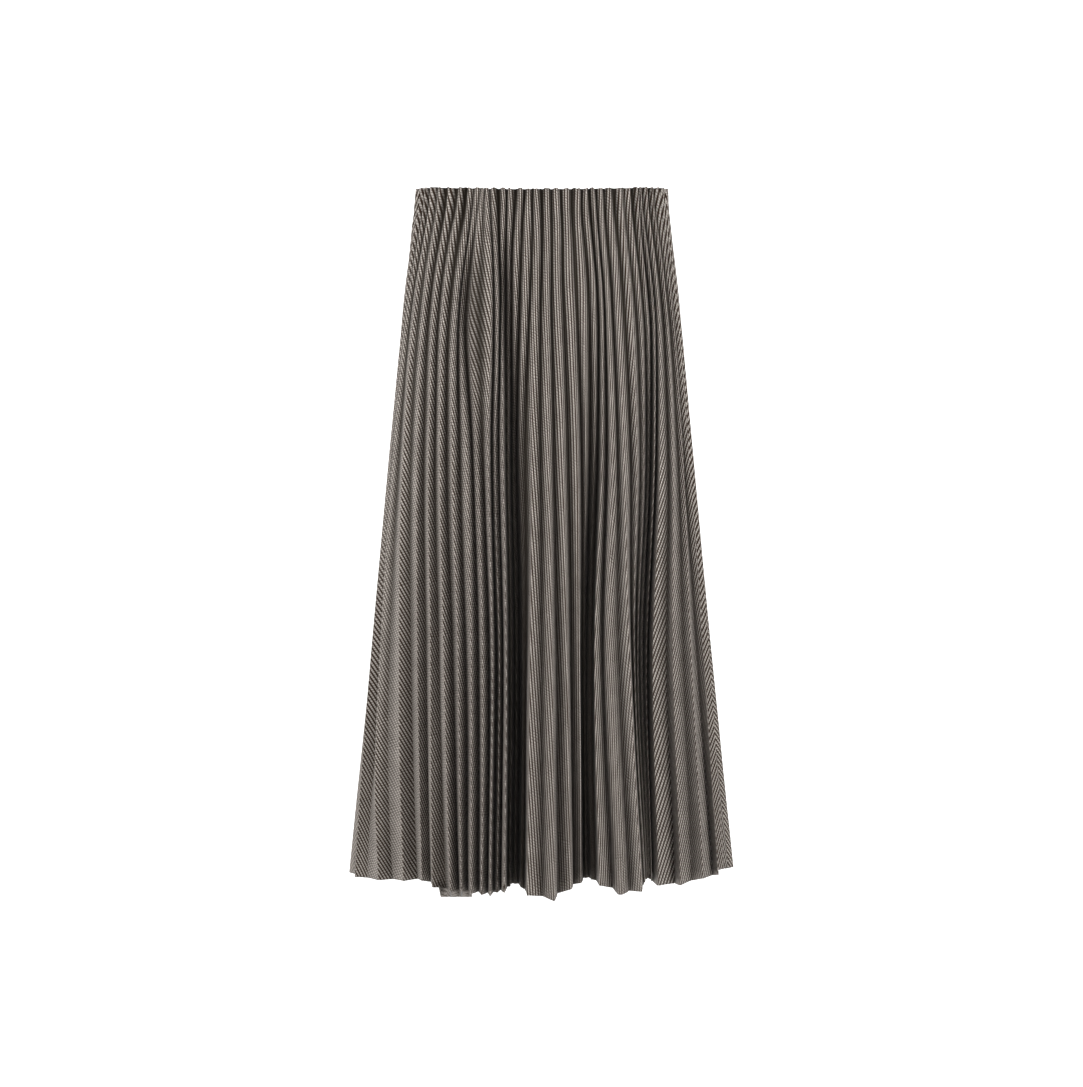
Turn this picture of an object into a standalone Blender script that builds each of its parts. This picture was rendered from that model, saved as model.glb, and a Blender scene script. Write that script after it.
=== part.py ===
"""Pleated maxi skirt, filled out and hollow, with nobody in it.

The skirt is sunray pleated: each pleat is narrow at the waist and opens evenly to the hem.
It is cut as two panels, joined by a seam at each side, and gathered on a wide elastic that is
sewn inside the waist. The origin is the middle of the waist opening, at the height of its
sides. +Z is up, and the front faces -Y. All lengths are in metres, and all angles in degrees.
"""

import math
from collections import namedtuple

import bpy
from mathutils import Vector

OBJECT_NAME = "pleated_maxi_skirt"

# The cloth and the seams.
MILLIMETRE = 0.001
WALL = 0.0010
SEAM_GAP = 0.0003
FOLD_TIP = 0.0015

# The cut: each panel is a part of a ring, which the pleating folds up.
WAIST_CUT_RADIUS = 0.340
LENGTH = 0.823
PANEL_ANGLE = 82.0
FRONT_PLEATS = 33
BACK_PLEATS = 32

# The elastic inside the waist.
ELASTIC_HEIGHT = 0.030
ELASTIC_THICKNESS = 0.0018
ELASTIC_STEPS = 72

# The waist dips at the centre front, and the hem lifts a little between front and sides.
WAIST_DIP = 0.0165
HEM_LIFT = 0.005

# The outline that the pleats' tips reach, from the waist down.
Outline = namedtuple("Outline", "below half_width front back")
OUTLINES = (
    Outline(0.000, 0.1525, 0.0980, 0.0960),
    Outline(0.030, 0.1540, 0.0990, 0.0985),
    Outline(0.130, 0.1650, 0.1120, 0.1180),
    Outline(0.310, 0.1820, 0.1310, 0.1380),
    Outline(0.550, 0.2045, 0.1570, 0.1590),
    Outline(0.823, 0.2315, 0.1900, 0.1800),
)

# The heights at which the folds are placed, and the rings of points between them.
FOLD_LEVELS = (0.000, 0.130, 0.310, 0.550, 0.823)
RINGS = (0.000, 0.030, 0.075, 0.130, 0.200, 0.285, 0.380, 0.480, 0.590, 0.705, 0.823)

# The front's pleats from left to right: where each tip lies round the body at the five levels,
# in degrees from the centre front, and how far it is set back from the outline below the
# waist, in millimetres. The rows that are set back most hang inside the deep recesses. The lean
# is where the inner fold after the tip lies at the hem, as a share of the way to the next tip,
# and the drop is how much lower than the rest the hem hangs there, in millimetres.
Fold = namedtuple(
    "Fold", "waist hip thigh calf hem back_hip back_thigh back_calf back_hem lean drop"
)
FRONT_FOLDS = (
    Fold(-71.0, -82.0, -88.0, -83.0, -71.8, 0, 0, 0, 2, 0.49, 0),
    Fold(-65.3, -73.5, -76.3, -71.8, -54.5, 0, 1, 6, 18, 0.52, 1.5),
    Fold(-59.5, -64.5, -63.5, -54.6, -43.2, 0, 3, 15, 33, 0.72, 1.5),
    Fold(-51.8, -55.9, -52.9, -44.9, -36.3, 0, 4, 18, 36, 0.76, 0),
    Fold(-46.2, -49.4, -46.2, -39.0, -32.5, 0, 3, 14, 27, 0.73, 5),
    Fold(-40.9, -43.4, -40.4, -33.3, -26.5, 0, 1, 7, 11, 0.7, 5),
    Fold(-35.0, -37.1, -34.7, -27.9, -23.0, 0, 1, 5, 10, 0.6, 4),
    Fold(-31.1, -34.6, -28.6, -23.2, -20.1, 11, 4, 3, 8, 0.65, 5),
    Fold(-27.8, -30.5, -24.2, -19.2, -17.1, 13, 8, 2, 7, 0.7, 5),
    Fold(-24.0, -21.2, -19.9, -16.0, -14.4, 0, 1, 1, 5, 0.5, 5),
    Fold(-21.1, -18.2, -17.1, -13.7, -12.4, 4, 7, 8, 14, 0.5, 2),
    Fold(-18.3, -16.1, -14.0, -11.3, -10.3, 11, 1, 0, 2, 0.5, 0),
    Fold(-15.0, -13.6, -12.2, -9.7, -8.9, 14, 20, 28, 32, 0.5, -3),
    Fold(-10.6, -10.5, -10.2, -8.1, -7.5, 4, 28, 42, 48, 0.5, -4),
    Fold(-5.8, -7.1, -7.7, -6.0, -5.8, 0, 17, 32, 36, 0.5, -2),
    Fold(-1.6, -2.6, -3.2, -3.6, -3.9, 0, 0, 0, 0, 0.56, 2),
    Fold(2.5, 2.2, 2.4, 3.3, 3.6, 0, 0, 0, 0, 0.2, 8),
    Fold(6.6, 6.6, 7.5, 8.1, 8.2, 0, 0, 4, 9, 0.2, -3),
    Fold(10.9, 11.6, 12.7, 12.2, 11.1, 0, 0, 9, 20, 0.5, -8),
    Fold(15.9, 16.8, 16.2, 14.0, 12.7, 0, 11, 36, 44, 0.5, -10),
    Fold(20.2, 21.6, 19.6, 15.5, 14.2, 3, 16, 36, 42, 0.6, -8),
    Fold(23.6, 24.9, 22.6, 17.4, 16.4, 3, 8, 5, 4, 0.6, -6),
    Fold(26.9, 27.6, 26.2, 22.3, 22.7, 0, 0, 0, 0, 0.41, 6),
    Fold(31.7, 32.0, 31.6, 29.5, 29.3, 0, 0, 0, 0, 0.5, 4.5),
    Fold(37.4, 38.6, 37.4, 31.4, 30.5, 0, 3, 20, 24, 0.5, -2),
    Fold(43.0, 43.8, 41.0, 33.2, 31.6, 0, 17, 36, 46, 0.5, -2),
    Fold(47.5, 48.6, 43.6, 34.9, 32.6, 6, 22, 40, 52, 0.5, -2),
    Fold(51.2, 52.4, 46.4, 36.7, 33.8, 3, 9, 30, 48, 0.5, 0),
    Fold(55.4, 55.7, 49.7, 39.2, 35.5, 0, 2, 16, 40, 0.81, 6),
    Fold(60.6, 62.2, 57.6, 48.6, 43.7, 0, 2, 14, 36, 0.56, 7),
    Fold(66.8, 69.4, 66.3, 58.9, 53.9, 0, 2, 10, 24, 0.75, 0),
    Fold(71.8, 76.4, 75.4, 71.0, 63.4, 0, 1, 5, 16, 0.4, -3),
    Fold(76.4, 83.2, 83.4, 82.5, 78.3, 0, 0, 3, 13, 0.5, -7),
)

# The back's first and last pleats, next to the side seams. The rest lie between them.
BACK_FIRST = Fold(81.2, 89.6, 91.8, 93.5, 95.0, 0, 0, 0, 0, 0.5, -4)
BACK_LAST = Fold(283.8, 271.6, 263.6, 265.0, 271.0, 0, 0, 0, 2, 0.5, 0)

# The back's deep recesses: the number of the pleat in the middle of each, how many pleats
# hang inside it, and how far back the middle one is set at the hem.
Recess = namedtuple("Recess", "middle pleats depth")
BACK_RECESSES = (
    Recess(4.5, 2, 0.034),
    Recess(11.0, 3, 0.046),
    Recess(18.5, 2, 0.030),
    Recess(25.0, 3, 0.042),
)
RECESS_SQUEEZE = 0.72
BACK_WANDER = 0.16

# The relief of a pleat is limited where pleats crowd, so that the cloth stays clear of itself.
CROWDED_PITCH = 0.0026
CROWDED_RELIEF = 3.0
LEAST_RELIEF = 0.3
WAIST_RELIEF = 0.0046

# In front the folds go straight back from here round to the sides, as far as they have opened.
STRAIGHT_TO = 60.0
STRAIGHTEN = 5.0

CLOTH_COLOUR = (0.17, 0.155, 0.14, 1.0)
ELASTIC_COLOUR = (0.11, 0.105, 0.10, 1.0)


def clear_scene():
    for item in list(bpy.data.objects):
        bpy.data.objects.remove(item)


def through(stations, values, place):
    """The value at a place on a smooth curve through the values at the stations."""
    last = len(stations) - 1
    slopes = []
    for k in range(last + 1):
        before = max(k - 1, 0)
        after = min(k + 1, last)
        slopes.append((values[after] - values[before]) / (stations[after] - stations[before]))
    k = 0
    while k < last - 1 and place > stations[k + 1]:
        k += 1
    span = stations[k + 1] - stations[k]
    u = (place - stations[k]) / span
    start = values[k] * (1.0 + 2.0 * u) * (1.0 - u) ** 2 + slopes[k] * span * u * (1.0 - u) ** 2
    end = values[k + 1] * u * u * (3.0 - 2.0 * u) + slopes[k + 1] * span * u * u * (u - 1.0)
    return start + end


def outline_at(below):
    """Half width, front depth and back depth of the outline at a distance below the waist."""
    stations = [row.below for row in OUTLINES]
    half_width = through(stations, [row.half_width for row in OUTLINES], below)
    front = through(stations, [row.front for row in OUTLINES], below)
    back = through(stations, [row.back for row in OUTLINES], below)
    return half_width, front, back


def inward_at(below, place):
    """The direction in which a fold goes inward: square to the outline, or straight back."""
    half_width, front, back = outline_at(below)
    turn = math.radians(place)
    depth = front if math.cos(turn) > 0.0 else back
    square = Vector((-math.sin(turn) / half_width, math.cos(turn) / depth)).normalized()
    facing = math.degrees(math.atan2(math.sin(turn), math.cos(turn)))
    beside = min(max((abs(facing) - STRAIGHT_TO) / (90.0 - STRAIGHT_TO), 0.0), 1.0)
    swing = math.copysign(0.5 * math.pi * beside * beside * (3.0 - 2.0 * beside), facing)
    straight = Vector((-math.sin(swing), math.cos(swing)))
    share = min(STRAIGHTEN * opened(below), 1.0) if math.cos(turn) > 0.0 else 0.0
    return square.lerp(straight, share).normalized()


def round_the_body(below, place, inward):
    """The point at a place round the outline, moved inward."""
    half_width, front, back = outline_at(below)
    turn = math.radians(place)
    depth = front if math.cos(turn) > 0.0 else back
    on_outline = Vector((half_width * math.sin(turn), -depth * math.cos(turn)))
    return on_outline + inward_at(below, place) * inward


def fold_at(fold, below):
    """Place, set-back, lean and drop of a pleat's tip at a distance below the waist."""
    place = through(FOLD_LEVELS, (fold.waist, fold.hip, fold.thigh, fold.calf, fold.hem), below)
    set_back = (0.0, fold.back_hip, fold.back_thigh, fold.back_calf, fold.back_hem)
    levels = (ELASTIC_HEIGHT,) + FOLD_LEVELS[1:]
    depth = through(levels, set_back, max(below, ELASTIC_HEIGHT))
    lean = 0.5 + (fold.lean - 0.5) * opened(below)
    return place, max(depth, 0.0) * MILLIMETRE, lean, fold.drop * MILLIMETRE


def opened(below):
    """How far the pleats have opened, from 0 at the waist to 1 at the hem."""
    return below / LENGTH


def recess_share(number, recess):
    """How deep inside a recess a back pleat hangs, from 0 to 1 at its middle."""
    reach = 0.5 * recess.pleats + 0.5
    return max(0.0, 1.0 - (abs(number - recess.middle) / reach) ** 2)


def back_folds_at(below):
    """The back's tips, from the right seam to the left one."""
    fall = (max(below - ELASTIC_HEIGHT, 0.0) / (LENGTH - ELASTIC_HEIGHT)) ** 0.9
    gaps = []
    for k in range(BACK_PLEATS - 1):
        hidden = max(recess_share(k + 0.5, recess) for recess in BACK_RECESSES)
        wander = BACK_WANDER * math.sin(1.9 * k + 0.6) + BACK_WANDER * math.sin(0.8 * k + 2.0)
        gaps.append(1.0 + fall * (wander * (1.0 - hidden) - RECESS_SQUEEZE * hidden))
    first = fold_at(BACK_FIRST, below)
    last = fold_at(BACK_LAST, below)
    folds = [first]
    done = 0.0
    for k, gap in enumerate(gaps):
        done += gap
        place = first[0] + (last[0] - first[0]) * done / sum(gaps)
        depth = max(recess.depth * recess_share(k + 1, recess) for recess in BACK_RECESSES)
        folds.append((place, fall * depth, 0.5, 0.0))
    folds[-1] = last
    return folds


def face_width(below):
    """The width of one face of a pleat, which is half the pleat, as it was cut."""
    step = math.radians(PANEL_ANGLE) / (2 * FRONT_PLEATS)
    return step * (WAIST_CUT_RADIUS + below)


def valley_between(below, tip, next_tip):
    """The inner fold between two tips, as deep as the cloth's width lets it be."""
    lean = tip[2]
    start = round_the_body(below, tip[0], tip[1])
    end = round_the_body(below, next_tip[0], next_tip[1])
    chord = end - start
    inward = inward_at(below, (1.0 - lean) * tip[0] + lean * next_tip[0])
    along = abs(chord.dot(inward))
    pitch = math.sqrt(max(chord.length ** 2 - along ** 2, 0.0))
    width = face_width(below)
    folded = math.sqrt(max(width ** 2 - 0.25 * chord.length ** 2, (LEAST_RELIEF * width) ** 2))
    stretch = math.hypot(folded * along, width * pitch) / chord.length
    crowded = 0.5 * along + CROWDED_RELIEF * max(pitch - CROWDED_PITCH, 0.1 * pitch)
    relief = min(width * folded / stretch, crowded)
    gathered = 1.0 - min(max(below / ELASTIC_HEIGHT - 1.0, 0.0), 1.0)
    relief = gathered * WAIST_RELIEF + (1.0 - gathered) * relief
    return start + chord * lean + inward * relief


def folded_round(below):
    """The zigzag of tips and inner folds all round, from the front's first tip, with drops."""
    tips = [fold_at(fold, below) for fold in FRONT_FOLDS] + back_folds_at(below)
    tips.append((tips[0][0] + 360.0,) + tips[0][1:])
    corners = []
    for tip, next_tip in zip(tips, tips[1:]):
        corners.append((round_the_body(below, tip[0], tip[1]), tip[3]))
        corners.append((valley_between(below, tip, next_tip), 0.5 * (tip[3] + next_tip[3])))
    return corners


def rounded(before, corner, after):
    """The two ends of the small flat that stands for a fold's rounded edge."""
    back = before - corner
    onward = after - corner
    half_angle = 0.5 * back.angle(onward)
    cut = 0.5 * FOLD_TIP / max(math.sin(half_angle), 0.05)
    cut = min(cut, 0.4 * back.length, 0.4 * onward.length)
    return corner + back.normalized() * cut, corner + onward.normalized() * cut


def panel_line(corners, first, last):
    """A panel's points at one height with their drops, from seam to seam.

    The seams lie in the middle of the faces just before the first corner and just after the
    last one, and each panel stops half a gap short of them.
    """
    count = len(corners)
    line = []
    before = corners[(first - 1) % count][0]
    corner, drop = corners[first % count]
    face = (corner - before).normalized()
    line.append((0.5 * (before + corner) + face * (0.5 * SEAM_GAP), drop))
    for k in range(first, last + 1):
        before = corners[(k - 1) % count][0]
        corner, drop = corners[k % count]
        after = corners[(k + 1) % count][0]
        line.extend((point, drop) for point in rounded(before, corner, after))
    face = (after - corner).normalized()
    line.append((0.5 * (corner + after) - face * (0.5 * SEAM_GAP), drop))
    return line


def height_of(below, point, drop):
    """Height of a point that lies a distance below the waist's sides."""
    half_width, front, back = outline_at(below)
    depth = front if point.y < 0.0 else back
    facing = math.atan2(point.x / half_width, -point.y / depth)
    dip = WAIST_DIP * max(math.cos(facing), 0.0) * (1.0 - opened(below))
    lift = HEM_LIFT * math.sin(2.0 * facing) ** 2 * opened(below) ** 2
    return -below - dip + lift - drop * opened(below) ** 3


def cloth_material(name, colour, roughness):
    material = bpy.data.materials.new(name)
    material.use_nodes = True
    shader = material.node_tree.nodes["Principled BSDF"]
    shader.inputs["Base Color"].default_value = colour
    shader.inputs["Roughness"].default_value = roughness
    shader.inputs["Metallic"].default_value = 0.0
    return material


def add_sheet(name, lines, closed, thickness, material, collection):
    """A sheet through lines of points from top to bottom, given its thickness."""
    columns = len(lines[0])
    points = [point for line in lines for point in line]
    faces = []
    for row in range(len(lines) - 1):
        for column in range(columns if closed else columns - 1):
            beside = (column + 1) % columns
            top = row * columns
            under = top + columns
            faces.append((top + column, under + column, under + beside, top + beside))
    mesh = bpy.data.meshes.new(name)
    mesh.from_pydata(points, [], faces)
    mesh.materials.append(material)
    sheet = bpy.data.objects.new(name, mesh)
    collection.objects.link(sheet)
    wall = sheet.modifiers.new("wall", "SOLIDIFY")
    wall.thickness = thickness
    wall.offset = 0.0
    wall.use_even_offset = True
    return sheet


def add_panel(name, first, last, material, collection):
    """One pleated panel, from its first to its last corner of the zigzag."""
    lines = []
    for below in RINGS:
        flat = panel_line(folded_round(below), first, last)
        lines.append([Vector((p.x, p.y, height_of(below, p, drop))) for p, drop in flat])
    return add_sheet(name, lines, False, WALL, material, collection)


def add_elastic(material, collection):
    """The elastic, a smooth band just inside the inner folds of the waist."""
    inward = WAIST_RELIEF + 0.5 * WALL + SEAM_GAP + 0.5 * ELASTIC_THICKNESS
    lines = []
    for drop in (0.0, ELASTIC_HEIGHT):
        line = []
        for step in range(ELASTIC_STEPS):
            flat = round_the_body(0.0, 360.0 * step / ELASTIC_STEPS, inward)
            line.append(Vector((flat.x, flat.y, height_of(0.0, flat, 0.0) - drop)))
        lines.append(line)
    return add_sheet("waist_elastic", lines, True, ELASTIC_THICKNESS, material, collection)


def build():
    clear_scene()
    collection = bpy.data.collections.new(OBJECT_NAME)
    bpy.context.scene.collection.children.link(collection)
    cloth = cloth_material("striped_cloth", CLOTH_COLOUR, 0.9)
    elastic = cloth_material("knitted_elastic", ELASTIC_COLOUR, 0.85)
    corners = 2 * (FRONT_PLEATS + BACK_PLEATS)
    front_last = 2 * FRONT_PLEATS - 1
    add_panel("front_panel", -1, front_last, cloth, collection)
    add_panel("back_panel", front_last + 1, corners - 2, cloth, collection)
    add_elastic(elastic, collection)


build()
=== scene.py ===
"""Looks of the pleated maxi skirt: two pleated cloth panels and the elastic inside the waist."""

import math
from collections import namedtuple

import bpy
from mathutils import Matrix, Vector, noise


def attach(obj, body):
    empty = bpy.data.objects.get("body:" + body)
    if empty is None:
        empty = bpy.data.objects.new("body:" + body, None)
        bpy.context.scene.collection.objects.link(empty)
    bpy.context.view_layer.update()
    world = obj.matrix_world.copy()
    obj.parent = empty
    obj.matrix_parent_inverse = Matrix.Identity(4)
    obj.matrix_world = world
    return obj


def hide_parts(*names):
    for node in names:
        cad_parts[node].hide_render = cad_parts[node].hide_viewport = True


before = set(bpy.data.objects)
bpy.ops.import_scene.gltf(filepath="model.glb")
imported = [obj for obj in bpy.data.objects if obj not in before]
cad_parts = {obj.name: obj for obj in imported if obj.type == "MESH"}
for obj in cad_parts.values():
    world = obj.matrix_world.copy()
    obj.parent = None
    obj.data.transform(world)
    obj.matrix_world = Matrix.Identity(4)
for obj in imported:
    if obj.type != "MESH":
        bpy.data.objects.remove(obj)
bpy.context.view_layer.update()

for item in bpy.context.selected_objects:
    item.select_set(False)


# The two panels are one woven cloth, sunray pleated: each pleat is narrow at the waist and wide
# at the hem. Its tip and its inner fold are corners of one zigzag round the skirt, numbered from
# the front's first tip, on an oval outline that widens to the hem. Sizes are in metres.
MILLIMETRE = 0.001
Outline = namedtuple("Outline", "below half_width front back")
OUTLINES = (
    Outline(0.000, 0.1525, 0.0980, 0.0960),
    Outline(0.030, 0.1540, 0.0990, 0.0985),
    Outline(0.130, 0.1650, 0.1120, 0.1180),
    Outline(0.310, 0.1820, 0.1310, 0.1380),
    Outline(0.550, 0.2045, 0.1570, 0.1590),
    Outline(0.823, 0.2328, 0.1900, 0.1800),
)
FOLD_LEVELS = (0.000, 0.130, 0.310, 0.550, 0.823)
LENGTH = 0.823
ELASTIC_HEIGHT = 0.030
WAIST_DIP = 0.0165
HEM_LIFT = 0.005
CORNER_DIP = 0.004
CORNER_SHARPNESS = 16
WAIST_CUT_RADIUS = 0.340
PANEL_ANGLE = 82.0
FRONT_PLEATS = 33
BACK_PLEATS = 32

# A tip: its places at five levels in degrees from the centre front, its set-backs from the
# outline at the lower four in millimetres, the lean of the inner fold after it, and how much
# lower the hem hangs and how softly the tip is rounded there, in millimetres.
Fold = namedtuple(
    "Fold", "waist hip thigh calf hem back_hip back_thigh back_calf back_hem lean drop round"
)
FRONT_FOLDS = (
    Fold(-71.0, -82.0, -88.0, -83.0, -71.8, 0, 0, 0, 2, 0.49, 0, 1.5),
    Fold(-65.3, -73.5, -76.3, -71.8, -54.5, 0, 1, 6, 18, 0.52, 1.5, 1.5),
    Fold(-59.5, -64.5, -63.5, -54.6, -43.2, 0, 3, 15, 33, 0.72, 1.5, 1.5),
    Fold(-51.8, -55.9, -52.9, -44.9, -36.3, 0, 4, 18, 36, 0.76, 0, 1.5),
    Fold(-46.2, -49.4, -46.2, -39.0, -32.5, 0, 3, 14, 27, 0.73, 5, 1.5),
    Fold(-39.5, -43.4, -40.4, -33.3, -26.5, 0, 1, 7, 11, 0.7, 5, 2),
    Fold(-32.9, -37.1, -34.7, -27.9, -23.0, 0, 1, 5, 10, 0.6, 4, 2),
    Fold(-29.8, -34.6, -28.6, -23.2, -20.1, 11, 4, 3, 8, 0.65, 5, 2),
    Fold(-27.2, -30.5, -24.2, -19.2, -17.1, 13, 8, 2, 7, 0.7, 5, 2),
    Fold(-25.2, -21.2, -19.9, -16.0, -14.4, 0, 1, 1, 5, 0.5, 5, 2),
    Fold(-23.0, -18.2, -17.1, -13.7, -12.4, 4, 7, 8, 14, 0.5, 2, 1.5),
    Fold(-17.9, -16.1, -14.0, -11.3, -10.3, 11, 1, 0, 2, 0.5, 0, 2),
    Fold(-15.0, -13.6, -12.2, -9.7, -8.9, 14, 20, 28, 32, 0.5, -3, 1.5),
    Fold(-10.6, -10.5, -10.2, -8.1, -7.5, 4, 28, 42, 48, 0.5, -4, 1.5),
    Fold(-5.8, -7.1, -7.7, -6.0, -5.8, 0, 17, 32, 36, 0.5, -2, 1.5),
    Fold(-1.6, -2.6, -3.2, -3.6, -3.9, 0, 0, 0, 0, 0.56, 2, 2.5),
    Fold(2.5, 2.2, 2.4, 3.3, 3.6, 0, 0, 0, 0, 0.2, 8, 2),
    Fold(6.6, 6.6, 7.5, 8.1, 8.2, 0, 0, 4, 9, 0.2, -3, 1.5),
    Fold(10.9, 11.6, 12.7, 12.2, 11.1, 0, 0, 9, 20, 0.5, -8, 1.5),
    Fold(15.9, 16.8, 16.2, 14.0, 12.7, 0, 11, 36, 44, 0.5, -10, 1.5),
    Fold(20.2, 21.6, 19.6, 15.5, 14.2, 3, 16, 36, 42, 0.6, -8, 1.5),
    Fold(23.6, 24.9, 22.6, 17.4, 16.4, 3, 8, 5, 4, 0.6, -6, 3),
    Fold(26.9, 27.6, 26.2, 22.3, 22.7, 0, 0, 0, 0, 0.41, 6, 8),
    Fold(31.7, 32.0, 31.6, 29.5, 29.3, 0, 0, 0, 0, 0.5, 4.5, 1.5),
    Fold(37.4, 38.6, 37.4, 31.4, 30.5, 0, 3, 20, 24, 0.5, -2, 1.5),
    Fold(43.0, 43.8, 41.0, 33.2, 31.4, 0, 17, 36, 46, 0.5, -2, 1.5),
    Fold(47.5, 48.6, 43.6, 34.9, 32.2, 6, 22, 40, 52, 0.5, -2, 1.5),
    Fold(51.2, 52.4, 46.4, 36.7, 33.1, 3, 9, 30, 48, 0.2, 0, 1.5),
    Fold(55.4, 55.7, 49.7, 39.2, 35.5, 0, 2, 16, 40, 0.81, 6, 4),
    Fold(60.6, 62.2, 57.6, 48.6, 43.7, 0, 2, 14, 36, 0.56, 7, 1.5),
    Fold(66.8, 69.4, 66.3, 58.9, 53.9, 0, 2, 10, 24, 0.75, 0, 1.5),
    Fold(71.8, 76.4, 75.4, 71.0, 63.4, 0, 1, 5, 16, 0.4, -3, 1.5),
    Fold(76.4, 83.2, 83.4, 82.5, 78.3, 0, 0, 3, 13, 0.5, -7, 1.5),
)
BACK_FIRST = Fold(81.2, 89.6, 91.8, 93.5, 95.0, 0, 0, 0, 0, 0.5, -4, 1.5)
BACK_LAST = Fold(283.8, 271.6, 263.6, 265.0, 271.0, 0, 0, 0, 2, 0.5, 0, 1.5)

# Inner folds that the gathers press flat: the corner of the zigzag, how flat it is at the waist,
# and how far down that reaches.
Flattened = namedtuple("Flattened", "corner share reach")
FLAT_FOLDS = (
    Flattened(5, 0.30, 0.08),
    Flattened(13, 0.30, 0.08),
    Flattened(15, 0.50, 0.14),
    Flattened(17, 0.45, 0.12),
    Flattened(19, 0.30, 0.08),
    Flattened(49, 0.30, 0.08),
)

# A recess of the back: its middle, counted in pleats from the right seam, how many pleats hang
# in it, and its depth at the hem. The waves make the back's pleats uneven from one to the next.
Recess = namedtuple("Recess", "middle pleats depth")
BACK_RECESSES = (
    Recess(4.5, 2, 0.034),
    Recess(11.0, 3, 0.046),
    Recess(18.5, 2, 0.030),
    Recess(25.0, 3, 0.042),
)
RECESS_SQUEEZE = 0.72
RECESS_FALL = 0.9
Wave = namedtuple("Wave", "rate phase")
BACK_WANDER = 0.16
BACK_WANDER_WAVES = (Wave(1.9, 0.6), Wave(0.8, 2.0))
BACK_DROP = 0.003
BACK_DROP_WAVE = Wave(2.3, 1.0)

# How deep the inner folds go, and in which direction: square to the outline at the waist, and
# soon straight back over the front, up to an angle from its middle.
CROWDED_PITCH = 0.0024
CROWDED_RELIEF = 3.0
LEAST_FREE_PITCH = 0.1
LEAST_RELIEF = 0.3
WAIST_RELIEF = 0.0070
EVEN_LEAN = 0.5
STRAIGHT_TO = 60.0
STRAIGHTEN = 5.0

# How far the folds stray from their lines. The steps, the shift and the two kinds pick places in
# the noise that are far enough apart for each fold to stray in its own way.
FOLD_WANDER = 0.0009
FOLD_WANDER_LENGTH = 0.16
GATHER_WANDER = 0.0050
GATHER_LENGTH = 0.080
FOLD_STEP = 7.3
GATHER_STEP = 5.1
GATHER_SHIFT = 4.7
SIDEWAYS = 0.0
INWARD = 2.0
INWARD_WANDER = 0.7

# How softly the folds bend: the tips at the upper four levels in millimetres, and the valleys.
TIP_BENDS = (4.6, 4.4, 3.4, 2.0)
VALLEY_BEND = 0.0011

Tip = namedtuple("Tip", "place inward lean drop soft")
Corner = namedtuple("Corner", "place drop soft")


def ramp(value, start, end):
    """Rises in a straight line from 0 at start to 1 at end."""
    return max(0.0, min((value - start) / (end - start), 1.0))


def smooth(share):
    """Softens both ends of a rise from 0 to 1."""
    return share * share * (3.0 - 2.0 * share)


def through(stations, values, place):
    """The value at a place on a smooth curve through the values at the stations."""
    last = len(stations) - 1
    slopes = []
    for k in range(last + 1):
        before = max(k - 1, 0)
        after = min(k + 1, last)
        slopes.append((values[after] - values[before]) / (stations[after] - stations[before]))
    k = 0
    while k < last - 1 and place > stations[k + 1]:
        k += 1
    span = stations[k + 1] - stations[k]
    u = (place - stations[k]) / span
    start = values[k] * (1.0 + 2.0 * u) * (1.0 - u) ** 2 + slopes[k] * span * u * (1.0 - u) ** 2
    end = values[k + 1] * u * u * (3.0 - 2.0 * u) + slopes[k + 1] * span * u * u * (u - 1.0)
    return start + end


def outline_at(below, in_front):
    """Half width of the outline at a distance below the waist, and its depth in front or back."""
    stations = [row.below for row in OUTLINES]
    depths = [row.front if in_front else row.back for row in OUTLINES]
    half_width = through(stations, [row.half_width for row in OUTLINES], below)
    return half_width, through(stations, depths, below)


def face_width(below):
    """The cloth's width between two folds, as the panels are cut."""
    return math.radians(PANEL_ANGLE) / (2 * FRONT_PLEATS) * (WAIST_CUT_RADIUS + below)


def opened(below):
    """How far the pleats have opened, from 0 at the waist to 1 at the hem."""
    return below / LENGTH


def inward_at(below, place):
    """The direction in which a fold goes inward: square to the outline, or straight back."""
    turn = math.radians(place)
    in_front = math.cos(turn) > 0.0
    half_width, depth = outline_at(below, in_front)
    square = Vector((-math.sin(turn) / half_width, math.cos(turn) / depth)).normalized()
    facing = math.degrees(math.atan2(math.sin(turn), math.cos(turn)))
    beside = smooth(ramp(abs(facing), STRAIGHT_TO, 90.0))
    swing = math.copysign(0.5 * math.pi * beside, facing)
    straight = Vector((-math.sin(swing), math.cos(swing)))
    share = min(STRAIGHTEN * opened(below), 1.0) if in_front else 0.0
    return square.lerp(straight, share).normalized()


def round_the_body(below, place, inward):
    """The point at a place round the outline, moved inward."""
    turn = math.radians(place)
    half_width, depth = outline_at(below, math.cos(turn) > 0.0)
    on_outline = Vector((half_width * math.sin(turn), -depth * math.cos(turn)))
    return on_outline + inward_at(below, place) * inward


def wander(number, below, kind):
    """How far a fold strays from its line: softly all the way, more in the gathers."""
    slow = noise.noise(Vector((FOLD_STEP * number, below / FOLD_WANDER_LENGTH, kind)))
    gather_kind = kind + GATHER_SHIFT
    quick = noise.noise(Vector((GATHER_STEP * number, below / GATHER_LENGTH, gather_kind)))
    return FOLD_WANDER * slow + GATHER_WANDER * quick * math.exp(-below / GATHER_LENGTH)


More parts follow.
